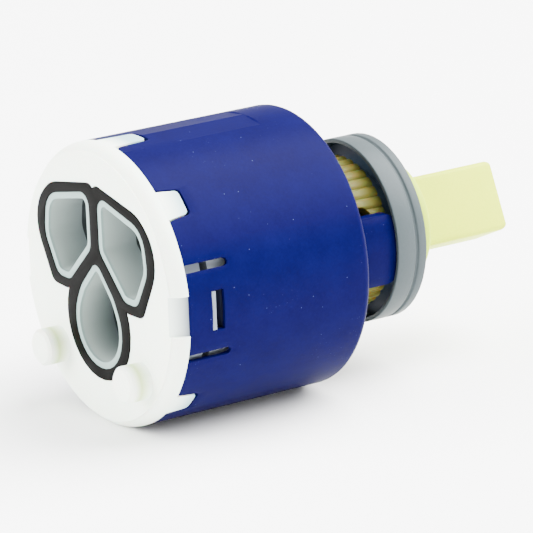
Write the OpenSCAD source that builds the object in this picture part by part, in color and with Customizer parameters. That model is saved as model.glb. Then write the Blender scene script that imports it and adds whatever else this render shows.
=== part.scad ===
// Single-lever mixer cartridge with ceramic discs, lying on its housing.
// The axis is +Y, from the sealing face at y = 0 towards the lever, and +Z is up.
// Angles round the axis start at +X and turn towards +Z.

/* [Housing] */
// Outer diameter of the housing and of the base's rim
body_d = 40; // [38:0.5:44]
// Wall of the housing's tube
housing_wall = 1; // [0.8:0.1:1.4]
// Length of the housing from its front edge to its shoulder
housing_len = 29.6; // [28:0.1:34]
// Thickness of the wall that closes the housing's far end
end_wall = 2.6; // [2:0.1:3]
// Rounding of the far shoulder
shoulder_r = 1.2; // [0.6:0.1:1.8]
// Chamfer of the front edge
front_chamfer = 0.25; // [0.1:0.05:0.4]
// Angle that one front notch spans at the front edge
notch_deg = 14; // [11:0.2:15]
// Depth of the front notches
notch_depth = 3.7; // [3:0.1:4]
// Depth of the two notches at the top and bottom
deep_notch_depth = 5.8; // [4:0.1:7]
// How much narrower a notch is at its end, on each side
notch_draft = 0.45; // [0:0.05:0.8]
// Gap between the end of a rim tooth and the end of its notch
tooth_gap = 0.5; // [0.3:0.05:0.8]
// Rounding of the notches' inner corners
notch_corner = 0.6; // [0.3:0.05:1]
// Width of the two slots beside each snap tongue
slot_w = 1.15; // [0.8:0.05:1.5]
// Length of those slots from the front edge
slot_len = 6.8; // [6.5:0.1:8]
// Angle of a slot from the middle of its tongue
slot_deg = 18.3; // [17:0.1:20]
// Width of the snap window
window_w = 5.6; // [5:0.1:6.4]
// Height of the snap window along the axis
window_h = 1.9; // [1.7:0.1:2.4]
// Distance from the front edge to the snap window
window_from_edge = 3.6; // [3.4:0.1:4]
// Angle that each of the two flat bands on top spans
band_deg = 13; // [10:0.5:15]
// Length of the flat bands from the front edge
band_len = 22.6; // [18:0.1:26]

/* [Neck posts] */
// Bore in the end wall, in which the rotor turns
neck_bore_d = 22.3; // [21.8:0.1:22.8]
// Radial thickness of a post
post_t = 1.35; // [1.1:0.05:1.6]
// Height of the posts above the shoulder
post_h = 9.8; // [9.6:0.1:11]
// Width of a post
post_w = 10.2; // [9:0.1:11]
// Rounding of a post's two outer corners
post_corner = 1.5; // [0.8:0.1:2]

/* [Base] */
// Thickness of the base's full-width rim
rim_t = 2.4; // [2.2:0.1:2.8]
// Rounding between the sealing face and the rim
rim_round = 2; // [1:0.1:2.1]
// Thickness of the whole base plate
plate_t = 5.4; // [5.3:0.1:5.8]
// Height of a snap tab above the plate
tab_h = 3.8; // [3.3:0.1:4]
// Radial thickness of a snap tab
tab_t = 1.5; // [1.2:0.1:1.8]
// Angle that a snap tab spans
tab_deg = 19; // [18:0.5:22]
// How far a snap lug's face lies below the housing's outside
lug_sink = 0.2; // [0.1:0.05:0.4]
// Height of a snap lug along the axis
lug_h = 1.2; // [0.9:0.05:1.4]
// Depth of the scoop in the rim at the housing's edge
scoop_edge = 0.4; // [0.2:0.05:0.6]
// Distance from the rim's outside to the scoop on the sealing face
scoop_face = 1.7; // [1.2:0.1:1.9]
// Diameter of the locating pegs
peg_d = 5.2; // [4.6:0.1:5.4]
// Height of the locating pegs above the sealing face
peg_h = 3.4; // [2.5:0.1:4]
// Radius of the circle through the pegs' centres
peg_r = 15.3; // [15:0.1:15.3]

/* [Ports and seals] */
// Width of the land between a port and the seal round it
port_land = 0.9; // [0.7:0.05:1]
// Width of the three-lobed seal's narrowest bands
seal_w = 1.3; // [1.1:0.05:1.5]
// Depth of the seal's groove in the sealing face
seal_groove = 1.9; // [1.5:0.1:2]
// How far the seal stands proud of the sealing face
seal_proud = 0.12; // [0.05:0.01:0.3]
// Land between a port and its disc seal
disc_seal_land = 0.4; // [0.3:0.05:0.5]
// Width of the disc seals
disc_seal_w = 1.1; // [0.9:0.05:1.2]
// Depth of the disc seals' grooves in the plate
disc_seal_groove = 1.9; // [1.5:0.1:2]
// Gap between the plate and the fixed disc, which the disc seals bridge
seal_gap = 1.4; // [1.2:0.1:1.6]

/* [Ceramic discs and carrier] */
// Gap between the fixed disc's rim and the housing's bore
fixed_gap = 0.5; // [0.3:0.05:0.7]
// How much smaller the fixed disc's ports are than the base's, all round
disc_port_inset = 0.6; // [0.4:0.05:0.65]
// Thickness of the fixed disc
fixed_t = 4.2; // [3.8:0.1:4.3]
// Thickness of the moving disc
moving_t = 4; // [3.6:0.1:4.2]
// Gap between the carrier and the housing's bore when the carrier is fully to one side
carrier_gap = 0.35; // [0.25:0.05:0.6]
// Wall of the carrier's skirt round the moving disc
skirt_wall = 1.2; // [1:0.05:1.4]
// Depth that the guide flats cut into the carrier's round
guide_cut = 2.2; // [2:0.1:2.6]
// Width of the sealing land between the fixed disc's ports and the moving disc's rim
disc_land = 0.9; // [0.7:0.05:1.2]
// Thickness of the carrier's plate
carrier_t = 4.4; // [4.2:0.1:4.8]
// Depth of the carrier's skirt down the moving disc's rim
skirt_h = 2.6; // [2:0.1:3]
// Height of the seal between the moving disc and the carrier
carrier_seal_h = 1.2; // [1:0.1:1.3]
// Thickness of the glide washer above the carrier
glide_t = 0.6; // [0.5:0.05:0.8]
// Thickness of the thrust washer under the end wall
thrust_t = 0.5; // [0.4:0.05:0.7]

/* [Rotor] */
// Thickness of the rotor's guide plate
rotor_plate_t = 3.2; // [2.8:0.1:3.6]
// Diameter of the rotor's hub
hub_d = 29; // [28:0.1:30]
// Diameter of the rotor's neck, inside the toothed ring
neck_d = 17.2; // [17:0.05:17.4]
// Diameter of the round bar of the rotor's O-ring
o_ring_bar = 1.3; // [1.1:0.05:1.4]
// Angle that the stop lug on the rotor spans
lug_deg = 20; // [16:1:22]
// Turn of the lever to either side of its middle
turn_each_way = 45; // [40:1:48]
// Turn of the rotor and lever from the middle, as drawn
lever_turn = 24; // [-40:1:40]

/* [Lever] */
// Width of the lever's blade
blade_w = 10.2; // [9.6:0.1:11]
// Thickness of the lever's blade
blade_t = 8.3; // [7.5:0.1:9]
// Length of the blade above the shield
blade_len = 15.3; // [12:0.1:18]
// Rounding of the blade's corners
blade_r = 0.8; // [0.4:0.1:1.5]
// Thickness of the lever inside the rotor
arm_t = 7; // [6.6:0.1:7.2]
// Width of the lever above its pin
arm_w = 6.8; // [6.4:0.1:7]
// Diameter of the steel pin
pin_d = 3; // [2.6:0.1:3.2]
// Diameter of the lever's lower arm
lower_d = 4.8; // [4.4:0.1:5]
// Diameter of the ball-shaped foot
foot_d = 5.4; // [5:0.1:5.6]
// Diameter of the spigot that carries the foot
spigot_d = 3.2; // [2.8:0.1:3.4]
// Tilt of the lever to either side of the axis
tilt_each_way = 12; // [8:0.5:13]
// Diameter of the round shield on the lever
shield_d = 17.4; // [14:0.1:17.6]
// Thickness of the shield
shield_h = 1.6; // [1.2:0.1:2]
// Distance from the rotor's top to the shield
shield_gap = 2.6; // [2.5:0.1:8]

/* [Toothed limiter ring and collar] */
// Gap between the tips of the ring's teeth and the posts
ring_gap = 0.2; // [0.15:0.01:0.3]
// Depth of the grooves between the teeth
ring_tooth_h = 0.45; // [0.35:0.05:0.7]
// Number of teeth
ring_teeth = 40; // [36:4:40]
// Height of the ring
ring_h = 9.15; // [8.5:0.05:9.2]
// How far the ring lifts out of its mesh
ring_lift = 2.4; // [2.2:0.1:2.4]
// Height of the small teeth on the posts that hold the ring
mesh_h = 1.9; // [1.4:0.1:1.9]
// Width of the ring's arched openings
arch_w = 2.6; // [2:0.1:3]
// Height of the arched openings
arch_h = 6.7; // [5:0.1:7]
// Angle of an arched opening from the middle of its post
arch_deg = 27; // [26:0.5:28]
// Wall of the collar's skirt
collar_wall = 0.65; // [0.6:0.05:1.2]
// How far the collar reaches down over the posts
collar_lap = 0.65; // [0.4:0.05:0.9]
// Width of the collar's groove
collar_groove_w = 0.6; // [0.4:0.05:0.8]
// Depth of the collar's groove
collar_groove_d = 0.3; // [0.2:0.05:0.4]
// Width of the collar's outer flange, beyond the groove
collar_flange = 1.3; // [1:0.05:1.4]

/* [Hidden] */
$fn = 96;

// Clearances: between moving flat faces, between loosely nested parts, and round a shaft
flat_gap = 0.05;
nest_gap = 0.1;
shaft_gap = 0.06;
press_gap = 0.02;
over = 0.5;

// Radii
body_r = body_d / 2;
bore_r = body_r - housing_wall;
neck_bore_r = neck_bore_d / 2;
post_r = neck_bore_r + post_t;
spigot_r = bore_r - nest_gap;
neck_r = neck_d / 2;
ring_r = neck_bore_r - ring_gap;
ring_root_r = ring_r - ring_tooth_h;
ring_bore_r = neck_r + 0.15;
stop_r = neck_r + 0.8;
stop_recess_r = stop_r + 0.2;
collar_inner_r = post_r + 0.15;
collar_r = collar_inner_r + collar_wall;
o_ring_r = neck_bore_r - 0.04 - o_ring_bar / 2;

// Thickness of the collar's end wall
collar_top = collar_flange + collar_groove_w + 0.1;

// Places along the axis
y_edge = rim_t;
y_shoulder = y_edge + housing_len;
y_end_inner = y_shoulder - end_wall;
y_fixed = plate_t + seal_gap;
y_moving = y_fixed + fixed_t + flat_gap;
y_carrier = y_moving + moving_t;
y_carrier_top = y_carrier + carrier_t;
y_glide = y_carrier_top + flat_gap;
y_rotor = y_glide + glide_t;
y_hub = y_rotor + rotor_plate_t;
y_thrust = y_end_inner - flat_gap - thrust_t;
y_o_ring = (y_end_inner + y_shoulder) / 2;
y_land_top = y_shoulder + 0.2;
y_pivot = y_land_top + pin_d / 2 + 0.1;
y_foot = y_carrier_top - 0.65;
y_ring = y_shoulder + 0.3;
y_post_top = y_shoulder + post_h;
y_collar = y_post_top - collar_lap;
y_top = y_ring + ring_h + ring_lift + 0.15 + collar_top;
y_shield = y_top + shield_gap;
y_blade = y_shield + shield_h;

// Lever travel, and the sizes that leave room for it
foot_arm = y_pivot - y_foot;
slide_each_way = foot_arm * tilt_each_way * PI / 180;
fixed_r = bore_r - fixed_gap;
carrier_r = bore_r - carrier_gap - slide_each_way;
carrier_flats = 2 * (carrier_r - guide_cut);
moving_r = carrier_r - skirt_wall - nest_gap;
moving_flats = carrier_flats - 2 * (skirt_wall + nest_gap);
disc_port_r = moving_r - slide_each_way - disc_land;
washer_bore_r = slide_each_way + foot_d / 2 + 1.2;

// Ports as loops of [x, z, radius] circles, run anticlockwise seen with +X to the right
side_port = [[8, 1.5, 1.2], [9.2, 1.5, 1.2], [9.6, 5.6, 2.9], [9.15, 7.4, 3.1], [2.9, 11, 0.95],
             [3.35, 6.2, 1.4]];
outlet_port = [[0, -5.6, 5.2], [0, -3.9, 4.4], [0, 1.45, 0.7], [0, -3.9, 4.4]];
// Lobes of the face seal, one band's width inside their outlines
side_lobe = [[8.3, -0.6, 0.1], [10.7, -0.2, 0.4], [9.3, 6.4, 4.75], [8.9, 7.2, 4.4], [1.2, 12.8, 0.35],
             [1, 4.6, 0.3]];
outlet_lobe = [[0, -5.1, 6.9], [0, 2.6, 0.3]];
mixing_pocket = [[0, -4.2, 3.9], [3.8, 2.3, 1.7], [-3.8, 2.3, 1.7]];
// Turn of one straight piece along a rounded outline
arc_step = 12;
notch_angles = [45, 135, 225, 315];
deep_notch_angles = [90, 270];
sides = [0, 180];

function tangent_angle(a, b) =
    atan2(b[1] - a[1], b[0] - a[0]) - acos((a[2] - b[2]) / norm([b[0] - a[0], b[1] - a[1]]));
function turn_between(a, b) = ((b - a) % 360 + 360) % 360;
function arc_points(c, grow, start, turn) =
    let (steps = max(1, ceil(turn / arc_step)))
    [for (k = [0:steps])
        let (a = start + turn * k / steps)
        [c[0] + (c[2] + grow) * cos(a), c[1] + (c[2] + grow) * sin(a)]];
function loop_points(loop, grow) =
    [for (i = [0:len(loop) - 1])
        let (before = loop[(i + len(loop) - 1) % len(loop)],
             after = loop[(i + 1) % len(loop)],
             a_in = tangent_angle(before, loop[i]),
             a_out = tangent_angle(loop[i], after))
        each arc_points(loop[i], grow, a_in, turn_between(a_in, a_out))];
function rounded_box(w, h, r) =
    [[w / 2 - r, h / 2 - r, r], [r - w / 2, h / 2 - r, r],
     [r - w / 2, r - h / 2, r], [w / 2 - r, r - h / 2, r]];

// Turns a profile of [radius, place along the axis] round the axis
module turned() {
    rotate([-90, 0, 0]) rotate_extrude() children();
}

// A part of a ring, centred on the direction of +X
module ring_part(r0, r1, y0, y1, span) {
    rotate([-90, 0, 0])
        rotate_extrude(angle = span, start = -span / 2)
            translate([r0, y0]) square([r1 - r0, y1 - y0]);
}

// A full ring
module ring(r0, r1, y0, y1) {
    turned() translate([r0, y0]) square([r1 - r0, y1 - y0]);
}

// A round bar along the axis
module bar(r, y0, y1) {
    translate([0, y0, 0]) rotate([-90, 0, 0]) cylinder(r = r, h = y1 - y0);
}

// Draws an outline of [x, z] points from y0 to y1
module prism(y0, y1) {
    translate([0, y0, 0]) rotate([-90, 0, 0]) linear_extrude(y1 - y0) mirror([0, 1, 0]) children();
}

// Turns what is drawn towards +X to another angle round the axis
module at_angle(a) {
    rotate([0, -a, 0]) children();
}

// A block towards +X: from radius r0 to r1, w wide, from y0 to y1
module block(r0, r1, w, y0, y1) {
    translate([r0, y0, -w / 2]) cube([r1 - r0, y1 - y0, w]);
}

module side_outline(grow) {
    polygon(loop_points(side_port, grow));
}

module outlet_outline(grow) {
    polygon(loop_points(outlet_port, grow));
}

module all_ports(grow) {
    side_outline(grow);
    mirror([1, 0, 0]) side_outline(grow);
    outlet_outline(grow);
}

// Each lobe of the face seal with its mirror image, as prisms
module seal_lobes(y0, y1, grow) {
    prism(y0, y1) polygon(loop_points(side_lobe, grow));
    prism(y0, y1) mirror([1, 0, 0]) polygon(loop_points(side_lobe, grow));
    prism(y0, y1) polygon(loop_points(outlet_lobe, grow));
}

// A front notch towards +X, or with less depth and width the tooth that fills it
module notch_block(depth, narrower) {
    w = body_r * sin(notch_deg / 2) - narrower;
    end = w - notch_draft;
    r = notch_corner;
    translate([bore_r - 2 * over, 0, 0]) rotate([90, 0, 90])
        linear_extrude(housing_wall + 3 * over)
            polygon(loop_points([[y_edge - 1, -w, 0.01], [y_edge + depth - r, r - end, r],
                                 [y_edge + depth - r, end - r, r], [y_edge - 1, w, 0.01]], 0));
}

// Everything on the rotor is drawn with the lever in its middle and then turned
module as_turned() {
    rotate([0, -lever_turn, 0]) children();
}

module housing_tube() {
    turned() union() {
        polygon([[bore_r, y_edge], [body_r - front_chamfer, y_edge], [body_r, y_edge + front_chamfer],
                 [body_r, y_shoulder - shoulder_r], [body_r - shoulder_r, y_shoulder],
                 [neck_bore_r, y_shoulder], [neck_bore_r, y_end_inner], [bore_r, y_end_inner]]);
        intersection() {
            translate([body_r - shoulder_r, y_shoulder - shoulder_r]) circle(r = shoulder_r);
            translate([body_r - shoulder_r, y_shoulder - shoulder_r]) square(shoulder_r);
        }
    }
}

// Outline of a post or blade seen from the side: square below, with rounded corners on top
module tab_outline(y0, y1, w, r) {
    rotate([0, 0, 90]) mirror([0, 1, 0])
        polygon(loop_points([[w / 2 - r, y1 - r, r], [r - w / 2, y1 - r, r],
                             [r - w / 2, y0, r], [w / 2 - r, y0, r]], 0));
}

module neck_post() {
    intersection() {
        ring(neck_bore_r, post_r, y_shoulder - over, y_post_top);
        rotate([90, 0, 90]) linear_extrude(body_r)
            tab_outline(y_shoulder - over, y_post_top, post_w, post_corner);
    }
}

// Small teeth on a post that stand in the grooves of the limiter ring
module post_teeth() {
    pitch = 360 / ring_teeth;
    for (k = [-2:1])
        at_angle((k + 0.5) * pitch)
            prism(y_ring, y_shoulder + mesh_h)
                polygon([[ring_root_r + 0.12, -0.12], [neck_bore_r + 0.1, -0.25],
                         [neck_bore_r + 0.1, 0.25], [ring_root_r + 0.12, 0.12]]);
}

module housing() {
    flat_r = body_r * cos(band_deg / 2);
    flat_w = 2 * body_r * sin(band_deg / 2) + 1;
    color("royalblue") difference() {
        union() {
            housing_tube();
            for (a = sides)
                at_angle(a) {
                    neck_post();
                    post_teeth();
                }
        }
        for (a = notch_angles) at_angle(a) notch_block(notch_depth, 0);
        for (a = deep_notch_angles) at_angle(a) notch_block(deep_notch_depth, 0);
        for (a = sides, s = [-1, 1])
            at_angle(a + s * slot_deg) {
                block(bore_r - over, body_r + over, slot_w, y_edge - over, y_edge + slot_len - slot_w / 2);
                translate([bore_r - over, y_edge + slot_len - slot_w / 2, 0])
                    rotate([0, 90, 0]) cylinder(d = slot_w, h = housing_wall + 2 * over);
            }
        for (a = sides)
            at_angle(a)
                block(bore_r - over, body_r + over, window_w,
                      y_edge + window_from_edge, y_edge + window_from_edge + window_h);
        for (s = [-1, 1])
            at_angle(90 + s * (band_deg / 2 - 0.1))
                block(flat_r, body_r + over, flat_w, y_edge - over, y_edge + band_len);
    }
}

module base_blank() {
    turned() union() {
        square([body_r - rim_round, rim_t]);
        translate([0, rim_round]) square([body_r, rim_t - rim_round]);
        intersection() {
            translate([body_r - rim_round, rim_round]) circle(r = rim_round);
            translate([body_r - rim_round, 0]) square([rim_round, rim_round]);
        }
        square([spigot_r, plate_t]);
    }
}

module locating_pegs() {
    tip = 0.4;
    for (a = [225, 315])
        at_angle(a)
            translate([peg_r, 1, 0]) rotate([90, 0, 0]) {
                cylinder(d = peg_d, h = peg_h + 1 - tip);
                translate([0, 0, peg_h + 1 - tip])
                    cylinder(d1 = peg_d, d2 = peg_d - 2 * tip, h = tip);
            }
}

// One snap tab with its lug, whose far side is a ramp
module snap_tab() {
    y_lug = y_edge + window_from_edge + flat_gap;
    lug_w = window_w - 2 * nest_gap;
    lug_r = body_r - lug_sink;
    ring_part(spigot_r - tab_t, spigot_r, plate_t - over, plate_t + tab_h, tab_deg);
    translate([0, 0, -lug_w / 2])
        linear_extrude(lug_w)
            polygon([[spigot_r - tab_t / 2, y_lug], [lug_r, y_lug], [lug_r, y_lug + lug_h / 2],
                     [spigot_r - tab_t / 2, y_lug + lug_h]]);
}

// The scoop in the rim in front of a snap tongue
module rim_scoop() {
    translate([0, 0, -window_w / 2])
        linear_extrude(window_w)
            polygon([[body_r - scoop_face, -over], [body_r + over, -over], [body_r + over, y_edge],
                     [body_r - scoop_edge, y_edge], [body_r - scoop_face, 0]]);
}

// One tooth of the rim, which stands in a front notch
module rim_tooth(depth) {
    intersection() {
        ring_part(spigot_r - nest_gap, body_r, y_edge, y_edge + depth, notch_deg + 4);
        notch_block(depth - tooth_gap, nest_gap);
    }
}

module base() {
    color("white") difference() {
        union() {
            base_blank();
            locating_pegs();
            for (a = notch_angles) at_angle(a) rim_tooth(notch_depth);
            for (a = deep_notch_angles) at_angle(a) rim_tooth(deep_notch_depth);
            for (a = sides) at_angle(a) snap_tab();
        }
        for (a = sides) at_angle(a) rim_scoop();
        prism(-over, plate_t + over) all_ports(0);
        difference() {
            seal_lobes(-over, seal_groove, seal_w + nest_gap);
            prism(-2 * over, seal_groove + over) all_ports(port_land);
        }
        for (s = [0, 1])
            mirror([s, 0, 0]) prism(plate_t - disc_seal_groove, plate_t + over) difference() {
                side_outline(disc_seal_land + disc_seal_w);
                side_outline(disc_seal_land);
            }
        prism(plate_t - disc_seal_groove, plate_t + over) difference() {
            outlet_outline(disc_seal_land + disc_seal_w);
            outlet_outline(disc_seal_land);
        }
    }
}

module port_seal() {
    color("dimgray") difference() {
        seal_lobes(-seal_proud, seal_groove, seal_w);
        prism(-seal_proud - over, seal_groove + over) all_ports(port_land + press_gap);
    }
}

module side_disc_seal() {
    prism(plate_t - disc_seal_groove, y_fixed) difference() {
        side_outline(disc_seal_land + disc_seal_w - press_gap);
        side_outline(disc_seal_land + press_gap);
    }
}

module hot_disc_seal() {
    color("dimgray") mirror([1, 0, 0]) side_disc_seal();
}

module cold_disc_seal() {
    color("dimgray") side_disc_seal();
}

module outlet_disc_seal() {
    color("dimgray") prism(plate_t - disc_seal_groove, y_fixed) difference() {
        outlet_outline(disc_seal_land + disc_seal_w - press_gap);
        outlet_outline(disc_seal_land + press_gap);
    }
}

module fixed_disc() {
    color("gainsboro") difference() {
        bar(fixed_r, y_fixed, y_fixed + fixed_t);
        prism(y_fixed - over, y_fixed + fixed_t + over) intersection() {
            all_ports(-disc_port_inset);
            circle(r = disc_port_r);
        }
        for (a = sides)
            at_angle(a)
                ring_part(spigot_r - tab_t - nest_gap, fixed_r + over,
                          y_fixed - over, y_fixed + fixed_t + over, tab_deg + 1);
    }
}

// A disc with two flats, drawn with the flats towards +X and -X
module flatted(r, flats, y0, y1) {
    intersection() {
        bar(r, y0, y1);
        translate([-flats / 2, y0 - over, -r - over]) cube([flats, y1 - y0 + 2 * over, 2 * (r + over)]);
    }
}

module moving_disc() {
    color("lightgray") as_turned() difference() {
        flatted(moving_r, moving_flats, y_moving, y_carrier);
        prism(y_moving - over, y_carrier + over) polygon(loop_points(mixing_pocket, 0));
    }
}

module carrier_seal() {
    color("dimgray") as_turned() prism(y_carrier, y_carrier + carrier_seal_h) difference() {
        polygon(loop_points(mixing_pocket, 2));
        polygon(loop_points(mixing_pocket, 0.6));
    }
}

module disc_carrier() {
    socket_r = foot_d / 2 + nest_gap;
    color("ivory") as_turned() difference() {
        flatted(carrier_r, carrier_flats, y_carrier - skirt_h, y_carrier_top);
        flatted(moving_r + nest_gap, moving_flats + 2 * nest_gap, y_carrier - skirt_h - over, y_carrier);
        bar(socket_r, y_foot - foot_d / 2 - 0.2, y_carrier_top + over);
        prism(y_carrier - over, y_carrier + carrier_seal_h) difference() {
            polygon(loop_points(mixing_pocket, 2 + press_gap));
            polygon(loop_points(mixing_pocket, 0.6 - press_gap));
        }
    }
}

module glide_washer() {
    color("tan") ring(washer_bore_r, carrier_flats / 2 - 0.3, y_glide, y_rotor);
}

module thrust_washer() {
    color("tan") ring(neck_bore_r + 0.1, hub_d / 2 + 1, y_thrust, y_end_inner - flat_gap);
}

// Room for the lever through the rotor, seen along the pin
module lever_slot() {
    half_w = arm_t / 2 + nest_gap;
    low = y_rotor - over;
    high = y_top + over;
    reach_low = (y_pivot - low) * tan(tilt_each_way) + foot_d / 2 + 0.3;
    reach_high = (high - y_pivot) * tan(tilt_each_way) + arm_w / 2 + 0.3;
    waist = 3 * tan(tilt_each_way) + arm_w / 2 + 0.4;
    translate([-half_w, 0, 0]) rotate([90, 0, 90])
        linear_extrude(2 * half_w)
            polygon([[low, -reach_low], [y_pivot - 3, -waist], [y_pivot + 3, -waist], [high, -reach_high],
                     [high, reach_high], [y_pivot + 3, waist], [y_pivot - 3, waist], [low, reach_low]]);
}

module rotor() {
    land_r = neck_bore_r - 0.08;
    cheek_x = carrier_flats / 2 + nest_gap;
    color("lightslategray") as_turned() difference() {
        union() {
            bar(spigot_r, y_rotor, y_hub);
            bar(hub_d / 2, y_hub - over, y_thrust);
            bar(land_r, y_thrust - over, y_land_top);
            bar(neck_r, y_land_top - over, y_top);
            at_angle(270) ring_part(neck_r - over, stop_r, y_land_top - over, y_ring + 1.7, lug_deg);
            intersection() {
                bar(spigot_r, y_carrier + 0.4, y_rotor + over);
                for (a = sides)
                    at_angle(a)
                        block(cheek_x, body_r, body_d, y_carrier + 0.4, y_rotor + over);
            }
        }
        lever_slot();
        turned() translate([o_ring_r - o_ring_bar / 2 - press_gap, y_o_ring - o_ring_bar / 2 - press_gap])
            square([o_ring_bar + 1, o_ring_bar + 2 * press_gap]);
        translate([-body_r, y_pivot, 0]) rotate([0, 90, 0]) cylinder(d = pin_d + 2 * press_gap, h = body_d);
    }
}

module rotor_o_ring() {
    color("dimgray") turned() translate([o_ring_r, y_o_ring]) circle(d = o_ring_bar);
}

// The blade, rounded on every long edge and at its two end corners
module lever_blade() {
    intersection() {
        prism(y_blade, y_blade + blade_len) polygon(loop_points(rounded_box(blade_t, blade_w, blade_r), 0));
        translate([-blade_t / 2 - over, 0, 0]) rotate([90, 0, 90])
            linear_extrude(blade_t + 2 * over)
                tab_outline(y_blade - over, y_blade + blade_len, blade_w, blade_r);
    }
}

module lever() {
    color("lightyellow") as_turned() difference() {
        union() {
            lever_blade();
            translate([-arm_t / 2, y_pivot, -arm_w / 2]) cube([arm_t, y_blade + over - y_pivot, arm_w]);
            translate([-arm_t / 2, y_pivot, 0]) rotate([0, 90, 0]) cylinder(d = arm_w, h = arm_t);
            bar(lower_d / 2, y_foot + 1.8, y_pivot);
            bar(spigot_d / 2, y_foot - foot_d / 2 + 1.5, y_foot + 2.8);
        }
        translate([-body_r, y_pivot, 0]) rotate([0, 90, 0]) cylinder(d = pin_d + 2 * shaft_gap, h = body_d);
    }
}

module lever_pin() {
    color("silver") as_turned()
        translate([press_gap - neck_r, y_pivot, 0]) rotate([0, 90, 0])
            cylinder(d = pin_d, h = 2 * (neck_r - press_gap));
}

module lever_foot() {
    color("gray") turned() difference() {
        intersection() {
            translate([0, y_foot]) circle(d = foot_d);
            translate([0, y_foot - foot_d / 2 - over]) square([foot_d, foot_d / 2 + over + 1.8 - press_gap]);
        }
        translate([-1, y_foot - foot_d / 2 + 1.5 - press_gap]) square([1 + spigot_d / 2 + press_gap, foot_d]);
    }
}

module lever_shield() {
    edge = 0.5;
    color("lightyellow") as_turned() difference() {
        turned() polygon([[0, y_shield], [shield_d / 2, y_shield], [shield_d / 2, y_blade - press_gap - edge],
                          [shield_d / 2 - edge, y_blade - press_gap], [0, y_blade - press_gap]]);
        translate([-arm_t / 2 - press_gap, y_shield - over, -arm_w / 2 - press_gap])
            cube([arm_t + 2 * press_gap, shield_h + 2 * over, arm_w + 2 * press_gap]);
    }
}

// Outline of the toothed ring: wide rounded teeth with narrow grooves between them
module tooth_outline() {
    pitch = 360 / ring_teeth;
    tooth = [[-0.36, ring_root_r], [-0.3, ring_r - 0.15], [-0.16, ring_r],
             [0.16, ring_r], [0.3, ring_r - 0.15], [0.36, ring_root_r]];
    polygon([for (k = [0:ring_teeth - 1], p = tooth)
                let (a = (k + p[0]) * pitch) [p[1] * cos(a), p[1] * sin(a)]]);
}

module limiter_ring() {
    color("goldenrod") difference() {
        prism(y_ring, y_ring + ring_h) tooth_outline();
        bar(ring_bore_r, y_ring - over, y_ring + ring_h + over);
        at_angle(270)
            ring_part(ring_bore_r - over, stop_recess_r, y_ring - over, y_ring + 2.1,
                      2 * turn_each_way + lug_deg + 2);
        for (a = [arch_deg, 180 - arch_deg])
            at_angle(a) {
                block(ring_bore_r - over, ring_r + over, arch_w, y_ring - over, y_ring + arch_h - arch_w / 2);
                translate([ring_bore_r - over, y_ring + arch_h - arch_w / 2, 0])
                    rotate([0, 90, 0]) cylinder(d = arch_w, h = ring_r);
            }
    }
}

module collar_ring() {
    edge = 0.2;
    y_groove = y_top - collar_flange - collar_groove_w;
    color("lightsteelblue") turned()
        polygon([[collar_inner_r, y_collar], [collar_r - edge, y_collar], [collar_r, y_collar + edge],
                 [collar_r, y_groove], [collar_r - collar_groove_d, y_groove + 0.1],
                 [collar_r - collar_groove_d, y_groove + collar_groove_w - 0.1],
                 [collar_r, y_groove + collar_groove_w], [collar_r, y_top - edge], [collar_r - edge, y_top],
                 [neck_r + press_gap, y_top], [neck_r + press_gap, y_top - collar_top],
                 [collar_inner_r, y_top - collar_top]]);
}

housing();
base();
port_seal();
hot_disc_seal();
cold_disc_seal();
outlet_disc_seal();
fixed_disc();
moving_disc();
carrier_seal();
disc_carrier();
glide_washer();
rotor();
thrust_washer();
rotor_o_ring();
lever();
lever_pin();
lever_foot();
lever_shield();
limiter_ring();
collar_ring();
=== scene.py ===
"""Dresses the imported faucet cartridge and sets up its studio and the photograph's camera."""

from __future__ import annotations

import logging
import math
from collections.abc import Callable, Sequence
from dataclasses import dataclass
from enum import Enum

import bmesh
import bpy
from mathutils import Matrix, Vector


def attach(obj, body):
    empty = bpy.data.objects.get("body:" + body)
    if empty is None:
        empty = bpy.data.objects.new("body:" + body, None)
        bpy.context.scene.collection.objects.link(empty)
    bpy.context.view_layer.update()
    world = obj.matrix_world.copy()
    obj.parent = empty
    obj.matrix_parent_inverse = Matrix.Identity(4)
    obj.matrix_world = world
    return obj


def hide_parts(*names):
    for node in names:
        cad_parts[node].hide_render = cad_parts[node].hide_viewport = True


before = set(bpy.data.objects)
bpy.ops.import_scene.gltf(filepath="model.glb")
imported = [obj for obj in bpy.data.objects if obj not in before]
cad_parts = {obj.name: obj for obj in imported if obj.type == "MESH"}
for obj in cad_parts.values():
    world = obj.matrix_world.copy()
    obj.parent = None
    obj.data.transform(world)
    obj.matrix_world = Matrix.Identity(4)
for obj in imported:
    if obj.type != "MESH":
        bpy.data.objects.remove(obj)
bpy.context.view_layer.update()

LOG = logging.getLogger("cartridge")
MM = 0.001
NEAR = 0.01  # places this many millimetres or degrees apart count as one
HAIR = 1e-4  # how many millimetres a rounded place may be off
DOUBLE = 1e-6  # corners this many metres apart are merged
NODE_DOUBLE = 2e-7  # the same in a CAD node's mesh
FLAT = 0.4  # faces that turn by fewer degrees are merged
Piece = bpy.types.Object
Colour = tuple[float, float, float]
Triple = tuple[float, float, float]
Pair = tuple[float, float]
Test = Callable[[list[Vector]], bool]


class Body(Enum):
    """The rigid bodies that the shaped pieces ride on."""

    HOUSING = "body"
    ROTOR = "rotor"
    LEVER = "lever"
    LIMITER = "limiter"


class Axis(Enum):
    """The axes that a painted shade runs along."""

    DEPTH = "Y"
    UP = "Z"


class Part(Enum):
    """The kinds of mesh part that are selected."""

    CORNER = "VERT"
    EDGE = "EDGE"
    FACE = "FACE"


def turn_of(point: Vector) -> float:
    """Gives a point's angle round the axis in degrees, from +X towards +Z."""
    return math.degrees(math.atan2(point.z, point.x)) % 360


def radius_of(point: Vector) -> float:
    """Gives a point's distance from the axis in millimetres."""
    return math.hypot(point.x, point.z) / MM


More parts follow.
